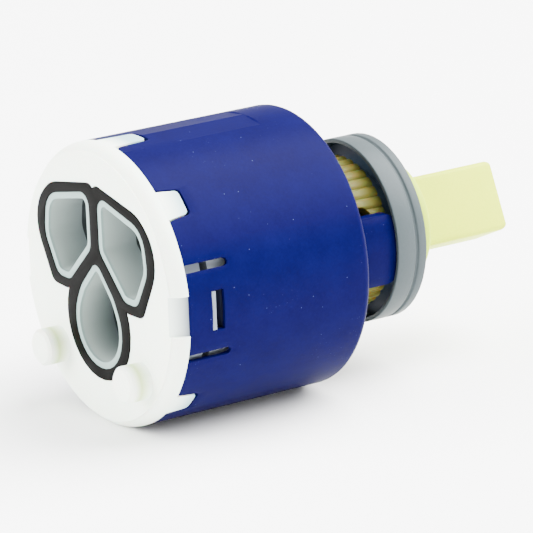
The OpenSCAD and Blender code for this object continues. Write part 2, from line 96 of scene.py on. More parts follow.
def apart(first: float, second: float) -> float:
    """Gives the smaller angle in degrees between two directions."""
    return abs((first - second + 180) % 360 - 180)


def turning(angle: float) -> Matrix:
    """Gives the turn round the axis by an angle in degrees, from +X towards +Z."""
    return Matrix.Rotation(math.radians(-angle), 4, "Y")


def folded(corners: Sequence[Vector]) -> list[Triple]:
    """Gives points in millimetres, with the side of -X folded onto that of +X."""
    return [(abs(c.x) / MM, c.y / MM, c.z / MM) for c in corners]


def on_ring(radius: float, place: float, turn: float) -> Vector:
    """Gives the point in metres at a radius and a place in millimetres and an angle in degrees."""
    angle = math.radians(turn)
    return Vector((radius * math.cos(angle), place, radius * math.sin(angle))) * MM


@dataclass(frozen=True)
class Softening:
    """How a piece's sharp edges are rounded and its faces shaded.

    The width is in millimetres. Edges sharper than one angle in degrees are
    rounded, and shading is smooth up to the other.
    """

    width: float
    steps: int
    sharper: float
    smooth: float


def clear() -> None:
    """Leaves edit mode and deselects everything."""
    if bpy.context.object is not None and bpy.context.object.mode != "OBJECT":
        bpy.ops.object.mode_set(mode="OBJECT")
    bpy.ops.object.select_all(action="DESELECT")


def add(name: str, operator: Callable[..., object], **settings: object) -> Piece:
    """Adds an object by one of Blender's operators and names it.

    Args:
        name: the new object's name.
        operator: the operator that adds it.
        settings: the operator's settings.

    Returns:
        The new object, the only selected one.
    """
    clear()
    operator(**settings)
    made = bpy.context.object
    made.name = name
    return made


def take(piece: Piece) -> None:
    """Makes a piece the only selected and active one.

    Args:
        piece: the piece to take.
    """
    clear()
    piece.select_set(True)
    bpy.context.view_layer.objects.active = piece


def select(part: Part) -> None:
    """Selects the whole mesh that is open in edit mode, as one kind of part."""
    bpy.ops.mesh.select_mode(type=part.value)
    bpy.ops.mesh.select_all(action="SELECT")


def edit(piece: Piece) -> None:
    """Opens a piece in edit mode with all of its corners selected.

    Args:
        piece: the piece to open.
    """
    take(piece)
    bpy.ops.object.mode_set(mode="EDIT")
    select(Part.CORNER)


def done() -> None:
    """Goes back to object mode."""
    bpy.ops.object.mode_set(mode="OBJECT")


def weld() -> None:
    """Merges the doubles of the mesh in edit mode and turns its faces outwards."""
    bpy.ops.mesh.select_all(action="SELECT")
    bpy.ops.mesh.remove_doubles(threshold=DOUBLE)
    bpy.ops.mesh.normals_make_consistent(inside=False)


def chain(name: str, points: Sequence[Vector]) -> Piece:
    """Draws a chain of edges by extruding one vertex from point to point.

    Args:
        name: the new piece's name.
        points: the chain's points in metres.

    Returns:
        The new piece, left in edit mode with its last vertex selected.
    """
    piece = add(name, bpy.ops.mesh.primitive_plane_add, size=MM, location=points[0])
    bpy.ops.object.transform_apply(location=True, rotation=True, scale=True)
    edit(piece)
    bpy.ops.mesh.merge(type="CENTER")
    for before, after in zip(points, points[1:]):
        bpy.ops.mesh.extrude_vertices_move(TRANSFORM_OT_translate={"value": after - before})
    return piece


def spin(spans: Sequence[float], widest: float = 3.0) -> None:
    """Spins the selected chain round the axis through one span after another.

    Args:
        spans: the angles of the spans in degrees.
        widest: the widest step in degrees.
    """
    bpy.ops.mesh.select_all(action="SELECT")
    for span in spans:
        steps = max(1, math.ceil(span / widest))
        bpy.ops.mesh.spin(steps=steps, angle=math.radians(span), center=(0, 0, 0), axis=(0, 1, 0))
    weld()


def turned(name: str, profile: Sequence[Pair], widest: float) -> Piece:
    """Turns a closed profile into a full ring.

    Args:
        name: the new piece's name.
        profile: the profile's corners as radius and place in millimetres.
        widest: the widest step in degrees.

    Returns:
        The new piece, in object mode.
    """
    points = [on_ring(radius, place, 0) for radius, place in profile]
    piece = chain(name, [*points, points[0]])
    spin([360.0], widest)
    done()
    return piece


def prism(name: str, outline: Sequence[Vector], depth: Vector) -> Piece:
    """Fills an outline and extrudes it.

    Args:
        name: the new piece's name.
        outline: the outline's points in metres, without repeating the first.
        depth: how far and where to extrude it.

    Returns:
        The new piece, in object mode.
    """
    piece = chain(name, [*outline, outline[0]])
    bpy.ops.mesh.select_all(action="SELECT")
    bpy.ops.mesh.remove_doubles(threshold=DOUBLE)
    bpy.ops.mesh.edge_face_add()
    bpy.ops.mesh.extrude_region_move(TRANSFORM_OT_translate={"value": depth})
    bpy.ops.mesh.select_all(action="SELECT")
    bpy.ops.mesh.normals_make_consistent(inside=False)
    done()
    return piece


def pick(piece: Piece, part: Part, test: Test) -> None:
    """Selects the faces or edges of a piece in edit mode whose corners pass a test.

    Args:
        piece: the piece that is open in edit mode.
        part: whether faces or edges are selected.
        test: takes the corners' places and says whether to select.
    """
    bpy.ops.mesh.select_mode(type=part.value)
    bpy.ops.mesh.select_all(action="DESELECT")
    mesh = bmesh.from_edit_mesh(piece.data)
    for element in mesh.faces if part is Part.FACE else mesh.edges:
        element.select_set(test([corner.co for corner in element.verts]))
    bmesh.update_edit_mesh(piece.data)


def reshape(piece: Piece, move: Callable[[Vector], Vector]) -> None:
    """Moves every selected vertex of a piece in edit mode to where a rule puts it.

    Args:
        piece: the piece that is open in edit mode.
        move: takes a vertex's place and gives its new one.
    """
    mesh = bmesh.from_edit_mesh(piece.data)
    for corner in mesh.verts:
        if corner.select:
            corner.co = move(corner.co)
    bmesh.update_edit_mesh(piece.data)


def apply(piece: Piece, kind: str, **settings: object) -> None:
    """Adds a modifier to a piece and applies it.

    Args:
        piece: the piece to change.
        kind: the modifier's type.
        settings: the modifier's settings.
    """
    take(piece)
    modifier = piece.modifiers.new(kind.lower(), kind)
    for name, value in settings.items():
        setattr(modifier, name, value)
    bpy.ops.object.modifier_apply(modifier=modifier.name)


def smooth(piece: Piece, angle: float) -> None:
    """Shades a piece smooth up to an angle in degrees."""
    take(piece)
    bpy.ops.object.shade_smooth_by_angle(angle=math.radians(angle), keep_sharp_edges=True)


def soften(piece: Piece, edges: Softening) -> None:
    """Rounds a piece's sharp edges and shades it smooth.

    Args:
        piece: the piece to change.
        edges: how its edges are rounded and its faces shaded.
    """
    apply(
        piece,
        "BEVEL",
        width=edges.width * MM,
        segments=edges.steps,
        limit_method="ANGLE",
        angle_limit=math.radians(edges.sharper),
        use_clamp_overlap=True,
    )
    smooth(piece, edges.smooth)


def cut(piece: Piece, cutter: Piece) -> None:
    """Cuts one piece out of another and deletes the cutter."""
    apply(piece, "BOOLEAN", operation="DIFFERENCE", solver="EXACT", object=cutter)
    bpy.data.objects.remove(cutter)


def join(pieces: Sequence[Piece]) -> Piece:
    """Joins pieces into the first one.

    Args:
        pieces: the pieces to join.

    Returns:
        The first piece, which now holds them all.
    """
    take(pieces[0])
    for piece in pieces:
        piece.select_set(True)
    bpy.ops.object.join()
    return pieces[0]


def copy(source: Piece, name: str, turn: float = 0.0) -> Piece:
    """Copies an object's mesh into a piece of its own, without its materials.

    Args:
        source: the object to copy.
        name: the new piece's name.
        turn: how far the copy is turned round the axis in degrees.

    Returns:
        The new piece.
    """
    piece = bpy.data.objects.new(name, source.data.copy())
    bpy.context.scene.collection.objects.link(piece)
    piece.data.materials.clear()
    if turn:
        piece.data.transform(turning(turn))
    return piece


def from_node(node: str, name: str) -> Piece:
    """Copies a CAD node's mesh and merges its triangles into flat faces.

    Args:
        node: the CAD node.
        name: the new piece's name.

    Returns:
        The new piece, in object mode.
    """
    piece = copy(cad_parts[node], name)
    edit(piece)
    bpy.ops.mesh.remove_doubles(threshold=NODE_DOUBLE)
    bpy.ops.mesh.dissolve_limited(angle_limit=math.radians(FLAT), delimit=set())
    done()
    return piece


class Signal:
    """A value socket that Python's arithmetic builds Math nodes on."""

    def __init__(self, tree: Tree, socket: bpy.types.NodeSocket) -> None:
        """Keeps the tree and the socket."""
        self.tree = tree
        self.socket = socket

    def _maths(self, operation: str, first: object, second: object, clamp: bool = False) -> Signal:
        """Adds a Math node on two values."""
        sockets = {0: first, 1: second}
        return self.tree.node("ShaderNodeMath", sockets, operation=operation, use_clamp=clamp)["Value"]

    def __add__(self, other: object) -> Signal:
        """Adds."""
        return self._maths("ADD", self, other)

    __radd__ = __add__

    def __sub__(self, other: object) -> Signal:
        """Subtracts another value from this one."""
        return self._maths("SUBTRACT", self, other)

    def __rsub__(self, other: object) -> Signal:
        """Subtracts this value from another one."""
        return self._maths("SUBTRACT", other, self)

    def __mul__(self, other: object) -> Signal:
        """Multiplies."""
        return self._maths("MULTIPLY", self, other)

    __rmul__ = __mul__

    def above(self, limit: float, softness: float) -> Signal:
        """Gives a mask that rises from 0 at a limit to 1 at the softness above it."""
        return self._maths("MULTIPLY", self - limit, 1 / softness, clamp=True)

    def below(self, limit: float, softness: float) -> Signal:
        """Gives a mask that rises from 0 at a limit to 1 at the softness below it."""
        return (self * -1.0).above(-limit, softness)


class Outputs:
    """The outputs of a new node, each as a Signal."""

    def __init__(self, tree: Tree, node: bpy.types.Node) -> None:
        """Keeps the tree and the node."""
        self.tree = tree
        self.node = node

    def __getitem__(self, name: str | int) -> Signal:
        """Gives one output by name or number."""
        return Signal(self.tree, self.node.outputs[name])


class Tree:
    """The shader nodes of one material or of the world."""

    DOT_RIM = 0.5  # the softness of a dot's rim as a share of its radius
    DOT_CELLS = (0.72, 0.02)  # which of the cells hold a dot
    MIX_BELOW, MIX_ABOVE, MIXED = 6, 7, 2  # a Mix node's sockets for colours

    def __init__(self, owner: bpy.types.Material | bpy.types.World) -> None:
        """Turns on the owner's nodes, keeps them and empties them.

        Args:
            owner: the material or the world.
        """
        owner.use_nodes = True
        self.nodes = owner.node_tree
        self.nodes.nodes.clear()

    def node(self, kind: str, sockets: dict[str | int, object], **settings: object) -> Outputs:
        """Adds a node.

        Args:
            kind: the node's type.
            sockets: values or signals for its inputs, by name or number.
            settings: what is set on the node first; stops gives a ramp's places and colours.

        Returns:
            The node's outputs.
        """
        made = self.nodes.nodes.new(kind)
        for name, value in settings.items():
            if name == "stops":
                ramp = made.color_ramp.elements
                while len(ramp) < len(value):
                    ramp.new(1.0)
                for element, (place, colour) in zip(ramp, value):
                    element.position = place
                    element.color = (*colour, 1.0)
            else:
                setattr(made, name, value)
        for name, value in sockets.items():
            if isinstance(value, Signal):
                self.nodes.links.new(value.socket, made.inputs[name])
            else:
                made.inputs[name].default_value = value
        return Outputs(self, made)

    def place(self, stretch: Triple = (1.0, 1.0, 1.0)) -> Signal:
        """Gives the object's coordinates, stretched along its axes."""
        coordinates = self.node("ShaderNodeTexCoord", {})["Object"]
        return self.node("ShaderNodeMapping", {"Vector": coordinates, "Scale": stretch})["Vector"]

    def along(self, axis: Axis) -> Signal:
        """Gives the object's coordinate along an axis in metres."""
        return self.node("ShaderNodeSeparateXYZ", {"Vector": self.place()})[axis.value]

    def noise(self, place: Signal, scale: float, detail: float = 2.0, roughness: float = 0.5) -> Signal:
        """Gives smooth noise from 0 to 1 with a number of features per metre."""
        sockets = {"Vector": place, "Scale": scale, "Detail": detail, "Roughness": roughness}
        return self.node("ShaderNodeTexNoise", sockets)["Fac"]

    def dots(self, place: Signal, scale: float, share: float) -> Signal:
        """Gives a mask of small scattered dots.

        Args:
            place: the coordinates.
            scale: cells per metre.
            share: the dots' radius as a share of a cell.

        Returns:
            The mask.
        """
        cells = self.node("ShaderNodeTexVoronoi", {"Vector": place, "Scale": scale})
        near = (share - cells["Distance"]).above(0.0, share * self.DOT_RIM)
        chance = self.node("ShaderNodeSeparateColor", {"Color": cells["Color"]})["Red"]
        return near * chance.above(*self.DOT_CELLS)

    def blend(self, mask: Signal, below: object, above: object) -> Signal:
        """Mixes two colours by a mask.

        Args:
            mask: the mask.
            below: the colour where the mask is 0.
            above: the colour where it is 1.

        Returns:
            The mixed colour.
        """
        low, high = ((*value, 1.0) if isinstance(value, tuple) else value for value in (below, above))
        sockets = {0: mask, self.MIX_BELOW: low, self.MIX_ABOVE: high}
        return self.node("ShaderNodeMix", sockets, data_type="RGBA")[self.MIXED]

    def bump(self, height: Signal, depth: float) -> Signal:
        """Turns a height into a normal; depth is in metres."""
        return self.node("ShaderNodeBump", {"Height": height, "Strength": 1.0, "Distance": depth})["Normal"]

    def surface(self, sockets: dict[str | int, object]) -> None:
        """Ends the tree with the Principled shader, set as the sockets say."""
        shader = self.node("ShaderNodeBsdfPrincipled", sockets)["BSDF"]
        self.node("ShaderNodeOutputMaterial", {"Surface": shader})


@dataclass(frozen=True)
class Patches:
    """Noise that is gathered in patches: its scale, and its mask's start and softness."""

    scale: float
    start: float
    softness: float
    detail: float = 2.0
    stretch: Triple = (1.0, 1.0, 1.0)

    def mask(self, tree: Tree) -> Signal:
        """Gives the patches as a mask."""
        return tree.noise(tree.place(self.stretch), self.scale, self.detail).above(self.start, self.softness)


@dataclass(frozen=True)
class Dots:
    """Scattered dots: cells per metre, and the dots' radius as a share of a cell."""

    scale: float
    share: float
    strength: float = 1.0
    height: float = 0.6
    patches: Patches | None = None


@dataclass(frozen=True)
class PaintedShade:
    """Painted shade: a colour laid on a finish along an axis of its piece, where the piece lies in shade.

    The start is a place and how far behind it the colour is full, and the
    end is a place and how far before it, in metres. A shade may be shaded.
    """

    colour: Colour
    start: Pair | None = None
    end: Pair | None = None
    axis: Axis = Axis.DEPTH
    shade: PaintedShade | None = None

    def on(self, tree: Tree, colour: object) -> Signal:
        """Lays the painted shade on a colour.

        Args:
            tree: the material's nodes.
            colour: the colour below it.

        Returns:
            The shaded colour.
        """
        along = tree.along(self.axis)
        masks = [along.above(*self.start)] if self.start else []
        masks += [along.below(*self.end)] if self.end else []
        own = self.shade.on(tree, self.colour) if self.shade else self.colour
        return tree.blend(math.prod(masks), colour, own)


@dataclass(frozen=True)
class Moulded:
    """A moulded plastic, rubber or ceramic with clouds, grain, painted shades, dots and fine scuffs.

    Clouds and grain are given in features per metre, and depths in metres.
    """

    name: str
    colour: Colour
    cloud_colour: Colour
    rough: float = 0.42
    rough_swing: float = 0.08
    rough_middle: float = 0.7
    detail: float = 3.0
    fineness: float = 0.6
    clouds: float = 70.0
    cloud_share: float = 0.55
    grain: float = 2600.0
    grain_share: float = 0.45
    grain_swing: float = 0.5
    grain_depth: float = 6e-6
    mottle: Pair = (0.35, 0.32)
    painted_shades: tuple[PaintedShade, ...] = ()
    dot_colour: Colour = (0.8, 0.82, 0.85)
    dots: tuple[Dots, ...] = ()
    scuff: float = 0.0
    scuff_rough: float = 0.15
    scuffs_along: Patches = Patches(1.0, 0.68, 0.05, stretch=(900.0, 60.0, 900.0))
    scuffs_across: Patches = Patches(1.0, 0.7, 0.05, stretch=(120.0, 1500.0, 120.0))
    scuff_patches: Patches = Patches(45.0, 0.52, 0.15)
    specular: float = 0.2
    soft_light: float = 0.0
    soft_depth: float = 0.001

    def make(self) -> bpy.types.Material:
        """Builds the material.

        Returns:
            The new material.
        """
        material = bpy.data.materials.new(self.name)
        tree = Tree(material)
        place = tree.place()
        cloud = tree.noise(place, self.clouds, self.detail, self.fineness)
        grain = tree.noise(place, self.grain, self.detail, self.fineness)
        mottle = cloud * self.cloud_share + grain * self.grain_share
        colour = tree.blend(mottle.above(*self.mottle), self.colour, self.cloud_colour)
        rough = cloud * self.rough_swing + grain * (self.rough_swing * self.grain_swing)
        rough = rough + (self.rough - self.rough_swing * self.rough_middle)
        height = grain
        # painted shades: darker colours laid where the piece lies in shade
        for shade in self.painted_shades:
            colour = shade.on(tree, colour)
        if self.scuff > 0:
            lines = self.scuffs_along.mask(tree) + self.scuffs_across.mask(tree)
            scuff = lines * self.scuff_patches.mask(tree)
            colour = tree.blend(scuff * self.scuff, colour, self.dot_colour)
            rough = rough + scuff * self.scuff_rough
        for dots in self.dots:
            mask = tree.dots(place, dots.scale, dots.share)
            if dots.patches:
                mask = mask * dots.patches.mask(tree)
            colour = tree.blend(mask * dots.strength, colour, self.dot_colour)
            height = height + mask * dots.height
        sockets = {
            "Base Color": colour,
            "Roughness": rough,
            "Normal": tree.bump(height, self.grain_depth),
            "Specular IOR Level": self.specular,
            "Subsurface Weight": self.soft_light,
            "Subsurface Scale": self.soft_depth,
        }
        tree.surface(sockets)
        return material


@dataclass(frozen=True)
class GroundSteel:
    """Ground steel with fine lines along its length."""

    name: str = "ground_steel"
    colour: Colour = (0.55, 0.56, 0.57)
    line_colour: Colour = (0.42, 0.43, 0.45)
    line_stretch: Triple = (300.0, 9000.0, 9000.0)
    line_depth: float = 2e-6
    rough: float = 0.28
    rough_swing: float = 0.14

    def make(self) -> bpy.types.Material:
        """Builds the material.

        Returns:
            The new material.
        """
        material = bpy.data.materials.new(self.name)
        tree = Tree(material)
        lines = tree.noise(tree.place(self.line_stretch), 1.0)
        sockets = {
            "Base Color": tree.blend(lines, self.colour, self.line_colour),
            "Roughness": lines * self.rough_swing + self.rough,
            "Normal": tree.bump(lines, self.line_depth),
            "Metallic": 1.0,
        }
        tree.surface(sockets)
        return material


@dataclass(frozen=True)
class Finishes:
    """Every finish on the cartridge."""

    housing: Moulded = Moulded(
        "blue_moulding", (0.0013, 0.0007, 0.0265), (0.002, 0.0017, 0.036), rough_swing=0.1, clouds=220.0,
        grain_depth=1e-5, dot_colour=(0.06, 0.08, 0.2), specular=0.014,
        dots=(Dots(2400.0, 0.16, 0.5, 0.0, Patches(90.0, 0.56, 0.12, 3.0)), Dots(900.0, 0.065)),
    )
    base: Moulded = Moulded(
        "milky_moulding", (0.86, 0.93, 0.82), (0.82, 0.89, 0.78), soft_light=0.25, soft_depth=0.002,
        painted_shades=(
            # painted shade: the pegs' sides, between their caps and the face, turn creamy green-grey
            PaintedShade((0.5, 0.62, 0.3), start=(-0.0027, 0.0009), end=(-0.0002, 0.0014)),
            # painted shade: behind the housing's front edge the rim teeth darken backwards into the notches
            PaintedShade((0.26, 0.42, 0.45), start=(0.0026, 0.0028)),
        ),
    )
    # painted shade: the ports and their lands are grey on the white base, greyer along the walls and dark
    # deep in the lower outlet port
    ports: Moulded = Moulded(
        "port_painted_shade", (0.19, 0.26, 0.245), (0.17, 0.24, 0.225), specular=0.1,
        painted_shades=(
            PaintedShade((0.25, 0.3, 0.28), start=(0.0002, 0.0003)),
            PaintedShade(
                (0.24, 0.28, 0.27), start=(0.001, 0.0045),
                shade=PaintedShade((0.1, 0.12, 0.12), end=(0.0, 0.002), axis=Axis.UP),
            ),
        ),
    )
    # painted shade: the scoops darken from the face back to the housing's edge, the base inside the housing
    # is dark and the pockets behind the snap lugs are near black
    painted_recess_shade: Moulded = Moulded(
        "recess_painted_shade", (0.7, 0.78, 0.72), (0.66, 0.74, 0.68), specular=0.1,
        painted_shades=(
            PaintedShade((0.13, 0.15, 0.185), start=(0.0003, 0.0022)),
            PaintedShade((0.012, 0.014, 0.03), start=(0.007, 0.0001)),
        ),
    )
    seal: Moulded = Moulded(
        "seal_rubber", (0.0012, 0.0012, 0.001), (0.002, 0.002, 0.0017), rough_swing=0.1, grain=3500.0,
        grain_depth=3e-6, dots=(Dots(900.0, 0.05),), dot_colour=(0.02, 0.02, 0.018), specular=0.014,
    )
    # painted light: the black rubber seals are lifted to dark grey where they show deep in the ports
    inner_seal: Moulded = Moulded(
        "inner_rubber_painted_light", (0.05, 0.056, 0.056), (0.06, 0.066, 0.066), rough_swing=0.1, grain=3500.0,
        grain_depth=3e-6, specular=0.1,
    )
    # painted shade: the discs are darker and bluer than their own white-grey ceramic, as they show only in
    # shade through the slots
    ceramic: Moulded = Moulded(
        "lapped_ceramic_painted_shade", (0.26, 0.29, 0.33), (0.23, 0.26, 0.3), 0.24, 0.06, grain=5000.0, grain_depth=1e-6,
    )
    lever: Moulded = Moulded(
        "ivory_moulding", (0.46, 0.56, 0.012), (0.51, 0.6, 0.022), 0.4, soft_light=0.1, soft_depth=0.0005,
        scuff=0.05, dot_colour=(0.5, 0.6, 0.06), specular=0.05,
    )
    shield: Moulded = Moulded(
        "pale_moulding", (0.38, 0.51, 0.02), (0.42, 0.55, 0.03), 0.38, soft_light=0.1, specular=0.05,
    )
    limiter: Moulded = Moulded(
        "yellow_moulding", (0.084, 0.082, 0.017), (0.071, 0.066, 0.0125), rough_swing=0.1, clouds=160.0,
        scuff=0.1, dot_colour=(0.3, 0.28, 0.1), specular=0.08, soft_light=0.6, soft_depth=0.0015,
    )
    collar: Moulded = Moulded(
        "grey_moulding", (0.042, 0.053, 0.056), (0.048, 0.06, 0.064), 0.4, dots=(Dots(700.0, 0.05),),
        scuff=0.1, dot_colour=(0.14, 0.16, 0.17), specular=0.08,
    )
    # painted light: a lighter, bluer slate than the rotor's own, lifting the shaded inside of the collar and
    # the rotor's neck
    rotor: Moulded = Moulded(
        "slate_painted_bluish_light", (0.05, 0.08, 0.12), (0.06, 0.092, 0.135), scuff=0.06, specular=0.08,
    )
    carrier: Moulded = Moulded("bone_moulding", (0.3, 0.3, 0.25), (0.34, 0.33, 0.28))
    washer: Moulded = Moulded("tan_sheet", (0.2, 0.13, 0.06), (0.24, 0.16, 0.08), 0.4)
    foot: Moulded = Moulded("dark_moulding", (0.02, 0.02, 0.02), (0.03, 0.03, 0.03), 0.35, 0.06)
    pin: GroundSteel = GroundSteel()


FINISHES = Finishes()


def settle(piece: Piece, material: bpy.types.Material, body: Body, node: str) -> None:
    """Gives a piece its material and body, lets it stand for its CAD node and reports it.

    Args:
        piece: the finished piece.
        material: its material.
        body: the body that it rides on.
        node: the CAD node that it stands for.
    """
    piece.data.materials.clear()
    piece.data.materials.append(material)
    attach(piece, body.value)
    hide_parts(node)
    LOG.info("%s: %d faces on %s", piece.name, len(piece.data.polygons), body.value)


def assign(piece: Piece, material: bpy.types.Material, test: Test) -> None:
    """Gives the faces of a piece that pass a test another material.

    Args:
        piece: the piece.
        material: the other material.
        test: takes a face's corners and says whether it gets the material.
    """
    piece.data.materials.append(material)
    edit(piece)
    pick(piece, Part.FACE, test)
    piece.active_material_index = len(piece.data.materials) - 1
    bpy.ops.object.material_slot_assign()
    done()


def dress(material: bpy.types.Material, *nodes: str) -> None:
    """Gives CAD nodes that keep their shape a better material.

    Args:
        material: their material.
        nodes: the CAD nodes.
    """
    for node in nodes:
        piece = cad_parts[node]
        piece.data.materials.clear()
        piece.data.materials.append(material)
        LOG.info("%s: keeps its CAD shape", node)


@dataclass(frozen=True)
class Notch:
    """A notch in the tube's front edge: its angle, its end and its front corners' rounding."""

    turn: float
    end: float
    front_round: float


@dataclass
class Housing:
    """The blue tube with its notches, snap tongues, flat bands, shoulder and neck posts.

    Lengths are in millimetres, and where a feature lies round the axis and half its width in degrees.
    """

    radius: float = 20.0
    wall: float = 0.6
    skin_depth: float = 1.0
    thick_wall: float = 1.0
    thick_places: Pair = (12.0, 30.0)
    thick_reach: float = 1.5
    front: float = 2.4
    plain_rows: tuple[float, ...] = (4.2, 10.5, 12.5, 16.5, 20.5, 28.5)
    shoulder: float = 32.0
    shoulder_rings: Pair = (17.0, 14.0)
    shoulder_round: float = 1.2
    shoulder_steps: int = 6
    neck_bore: float = 11.15
    notches: tuple[Notch, ...] = (
        Notch(45.0, 6.0, 0.6), Notch(90.0, 8.3, 1.2), Notch(135.0, 6.0, 0.6),
        Notch(225.0, 6.0, 0.6), Notch(270.0, 8.3, 1.2), Notch(315.0, 6.0, 0.6),
    )
    notch_half: float = 7.0
    notch_reach: float = 16.0
    notch_round: float = 0.6
    round_steps: int = 3
    draft: float = 1.3
    draft_width: float = 2.2
    draft_fade: float = 2.0
    tongues: Pair = (0.0, 180.0)
    slot_at: float = 18.3
    slot_half: float = 1.647
    slot_half_top: float = 1.165
    slot_straight: float = 8.6
    slot_end: float = 9.2
    window_half: float = 8.05
    window_front: float = 6.0
    window_back: float = 7.9
    band_at: float = 90.0
    band_half: float = 13.0
    band_end: float = 25.0
    band_step: float = 0.3
    crease_near: float = 0.05
    post_radii: Pair = (11.15, 12.5)
    post_root: float = 0.6
    post_top: float = 41.8
    post_half: float = 5.1
    post_corner: float = 1.5
    post_corner_step: int = 15
    post_spin: float = 90.0
    edges: Softening = Softening(width=0.18, steps=2, sharper=42.0, smooth=28.0)

    @property
    def degree(self) -> float:
        """The length of one degree on the tube's outside in millimetres."""
        return math.radians(self.radius)

    @property
    def band_last(self) -> float:
        """The place in millimetres between the bands' last row and the row where the tube is round again."""
        return self.band_end - self.band_step / 2

    def is_deep(self, corner: Vector) -> bool:
        """Says whether a point lies well inside the tube's skin."""
        return radius_of(corner) < self.radius - self.skin_depth

    def beside_slot(self, turn: float) -> float:
        """Gives the angle in degrees from a direction to the middle of the nearest slot."""
        return min(apart(turn, at + side) for at in self.tongues for side in (-self.slot_at, self.slot_at))

    def round_places(self, radius: float) -> list[float]:
        """Lists how far from its corner a rounding needs edges, in millimetres."""
        return [step * radius / self.round_steps for step in range(self.round_steps + 1)]

    def columns(self) -> list[float]:
        """Lists the angles at which the tube's skin needs an edge along the axis.

        Returns:
            The angles in degrees, in order.
        """
        wanted = {0.0, 360.0}
        for notch in self.notches:
            gaps = [-place for place in self.round_places(self.notch_round)]
            gaps += self.round_places(notch.front_round)
            for half in (self.notch_half + gap / self.degree for gap in gaps):
                wanted |= {round((notch.turn + side) % 360, 4) for side in (-half, half)}
        for at in self.tongues:
            wanted |= {(at + side) % 360 for side in (-self.window_half, self.window_half)}
            for edge in (-self.slot_half, -self.slot_half_top, 0.0, self.slot_half_top, self.slot_half):
                wanted |= {(at + side + edge) % 360 for side in (-self.slot_at, self.slot_at)}
        for middle in (self.band_at, self.band_at + 180):
            wanted |= {middle - self.band_half, middle, middle + self.band_half}
        return sorted(wanted)

    def rows(self) -> list[float]:
        """Lists the places along the axis at which the skin needs an edge round it.

        Returns:
            The places in millimetres, in order.
        """
        wanted = {self.front, self.window_front, self.window_back, self.slot_straight, self.slot_end}
        for notch in self.notches:
            wanted |= {round(notch.end - place, 4) for place in self.round_places(self.notch_round)}
            wanted |= {round(self.front + place, 4) for place in self.round_places(notch.front_round)}
        wanted |= {*self.plain_rows, self.band_end - self.band_step, self.band_end, self.shoulder}
        return sorted(wanted)

    def is_open(self, corners: list[Vector]) -> bool:
        """Says whether a face of the skin lies in a notch, slot or window.

        Args:
            corners: the face's corners in metres.

        Returns:
            Whether it is taken out.
        """
        middle = sum(corners, Vector()) / len(corners)
        if self.is_deep(middle):
            return False
        place, turn = middle.y / MM, turn_of(middle)
        if any(place < notch.end and apart(turn, notch.turn) < self.notch_half for notch in self.notches):
            return True
        beside = self.beside_slot(turn)
        if beside < self.slot_half and place < self.slot_straight:
            return True
        if beside < self.slot_half_top and place < self.slot_end:
            return True
        from_tongue = min(apart(turn, at) for at in self.tongues)
        return from_tongue < self.window_half and self.window_front < place < self.window_back

    @staticmethod
    def rounded(across: float, along: float, radius: float) -> Pair:
        """Draws a square block at a corner onto the quarter of a disc.

        Args:
            across: distance from the corner across the axis, from 0 to the radius.
            along: distance from the corner along the axis, from 0 to the radius.
            radius: the rounding's radius.

        Returns:
            The new distances from the corner.
        """
        side, rise = 1 - across / radius, 1 - along / radius
        reach = max(side, rise)
        if reach <= 0:
            return across, along
        lean = math.radians(45 * side / rise if rise >= side else 90 - 45 * rise / side)
        return radius * (1 - reach * math.sin(lean)), radius * (1 - reach * math.cos(lean))

    def notched(self, corner: Vector) -> Vector:
        """Gives the notches their rounded corners and their draft.

        Args:
            corner: a corner of the skin in metres.

        Returns:
            Its new place in metres.
        """
        turn, place = turn_of(corner), corner.y / MM
        notch = min(self.notches, key=lambda each: apart(turn, each.turn))
        offset = (turn - notch.turn + 180) % 360 - 180
        if abs(offset) > self.notch_reach or place > notch.end + self.draft_fade or self.is_deep(corner):
            return corner
        across = (abs(offset) - self.notch_half) * self.degree
        ahead, left = place - self.front, notch.end - place
        if -HAIR < across < notch.front_round + HAIR and ahead < notch.front_round + HAIR:
            across, ahead = self.rounded(max(0.0, across), max(0.0, ahead), notch.front_round)
            place = self.front + ahead
        elif -self.notch_round - HAIR < across < HAIR and -HAIR < left < self.notch_round + HAIR:
            inward, left = self.rounded(max(0.0, -across), max(0.0, left), self.notch_round)
            across, place = -inward, notch.end - left
        draft = self.draft * self.degree * min(1.0, (place - self.front) / (notch.end - self.front))
        draft *= min(1.0, max(0.0, 1 - (place - notch.end) / self.draft_fade))
        if across > 0:
            across -= draft * max(0.0, 1 - across / self.draft_width)
        else:
            half = self.notch_half * self.degree
            across = (half + across) * (1 - draft / half) - half
        new_turn = notch.turn + math.copysign(self.notch_half + across / self.degree, offset)
        return on_ring(self.radius, place, new_turn)

    def rounded_slot(self, corner: Vector) -> Vector:
        """Moves the corners at a slot's end onto its rounding.

        Args:
            corner: a corner of the skin in metres.

        Returns:
            Its new place in metres.
        """
        at_end = self.slot_straight - NEAR < corner.y / MM < self.slot_end + NEAR
        if not at_end or abs(self.beside_slot(turn_of(corner)) - self.slot_half_top) > 2 * NEAR:
            return corner
        rise = math.sqrt(1 - (self.slot_half_top / self.slot_half) ** 2)
        place = self.slot_straight + rise * (self.slot_end - self.slot_straight)
        return Vector((corner.x, place * MM, corner.z))

    def flattened(self, corner: Vector) -> Vector:
        """Moves the skin's corners under the two bands onto their flats.

        Args:
            corner: a corner of the skin in metres.

        Returns:
            Its new place in metres.
        """
        turn = turn_of(corner)
        if apart(turn, self.band_at) > self.band_half + NEAR or corner.y / MM > self.band_last:
            return corner
        middle = self.band_at + math.copysign(self.band_half / 2, turn - self.band_at)
        flat = self.radius * math.cos(math.radians(self.band_half / 2))
        radius = min(self.radius, flat / math.cos(math.radians(turn - middle)))
        return on_ring(radius, corner.y / MM, turn)

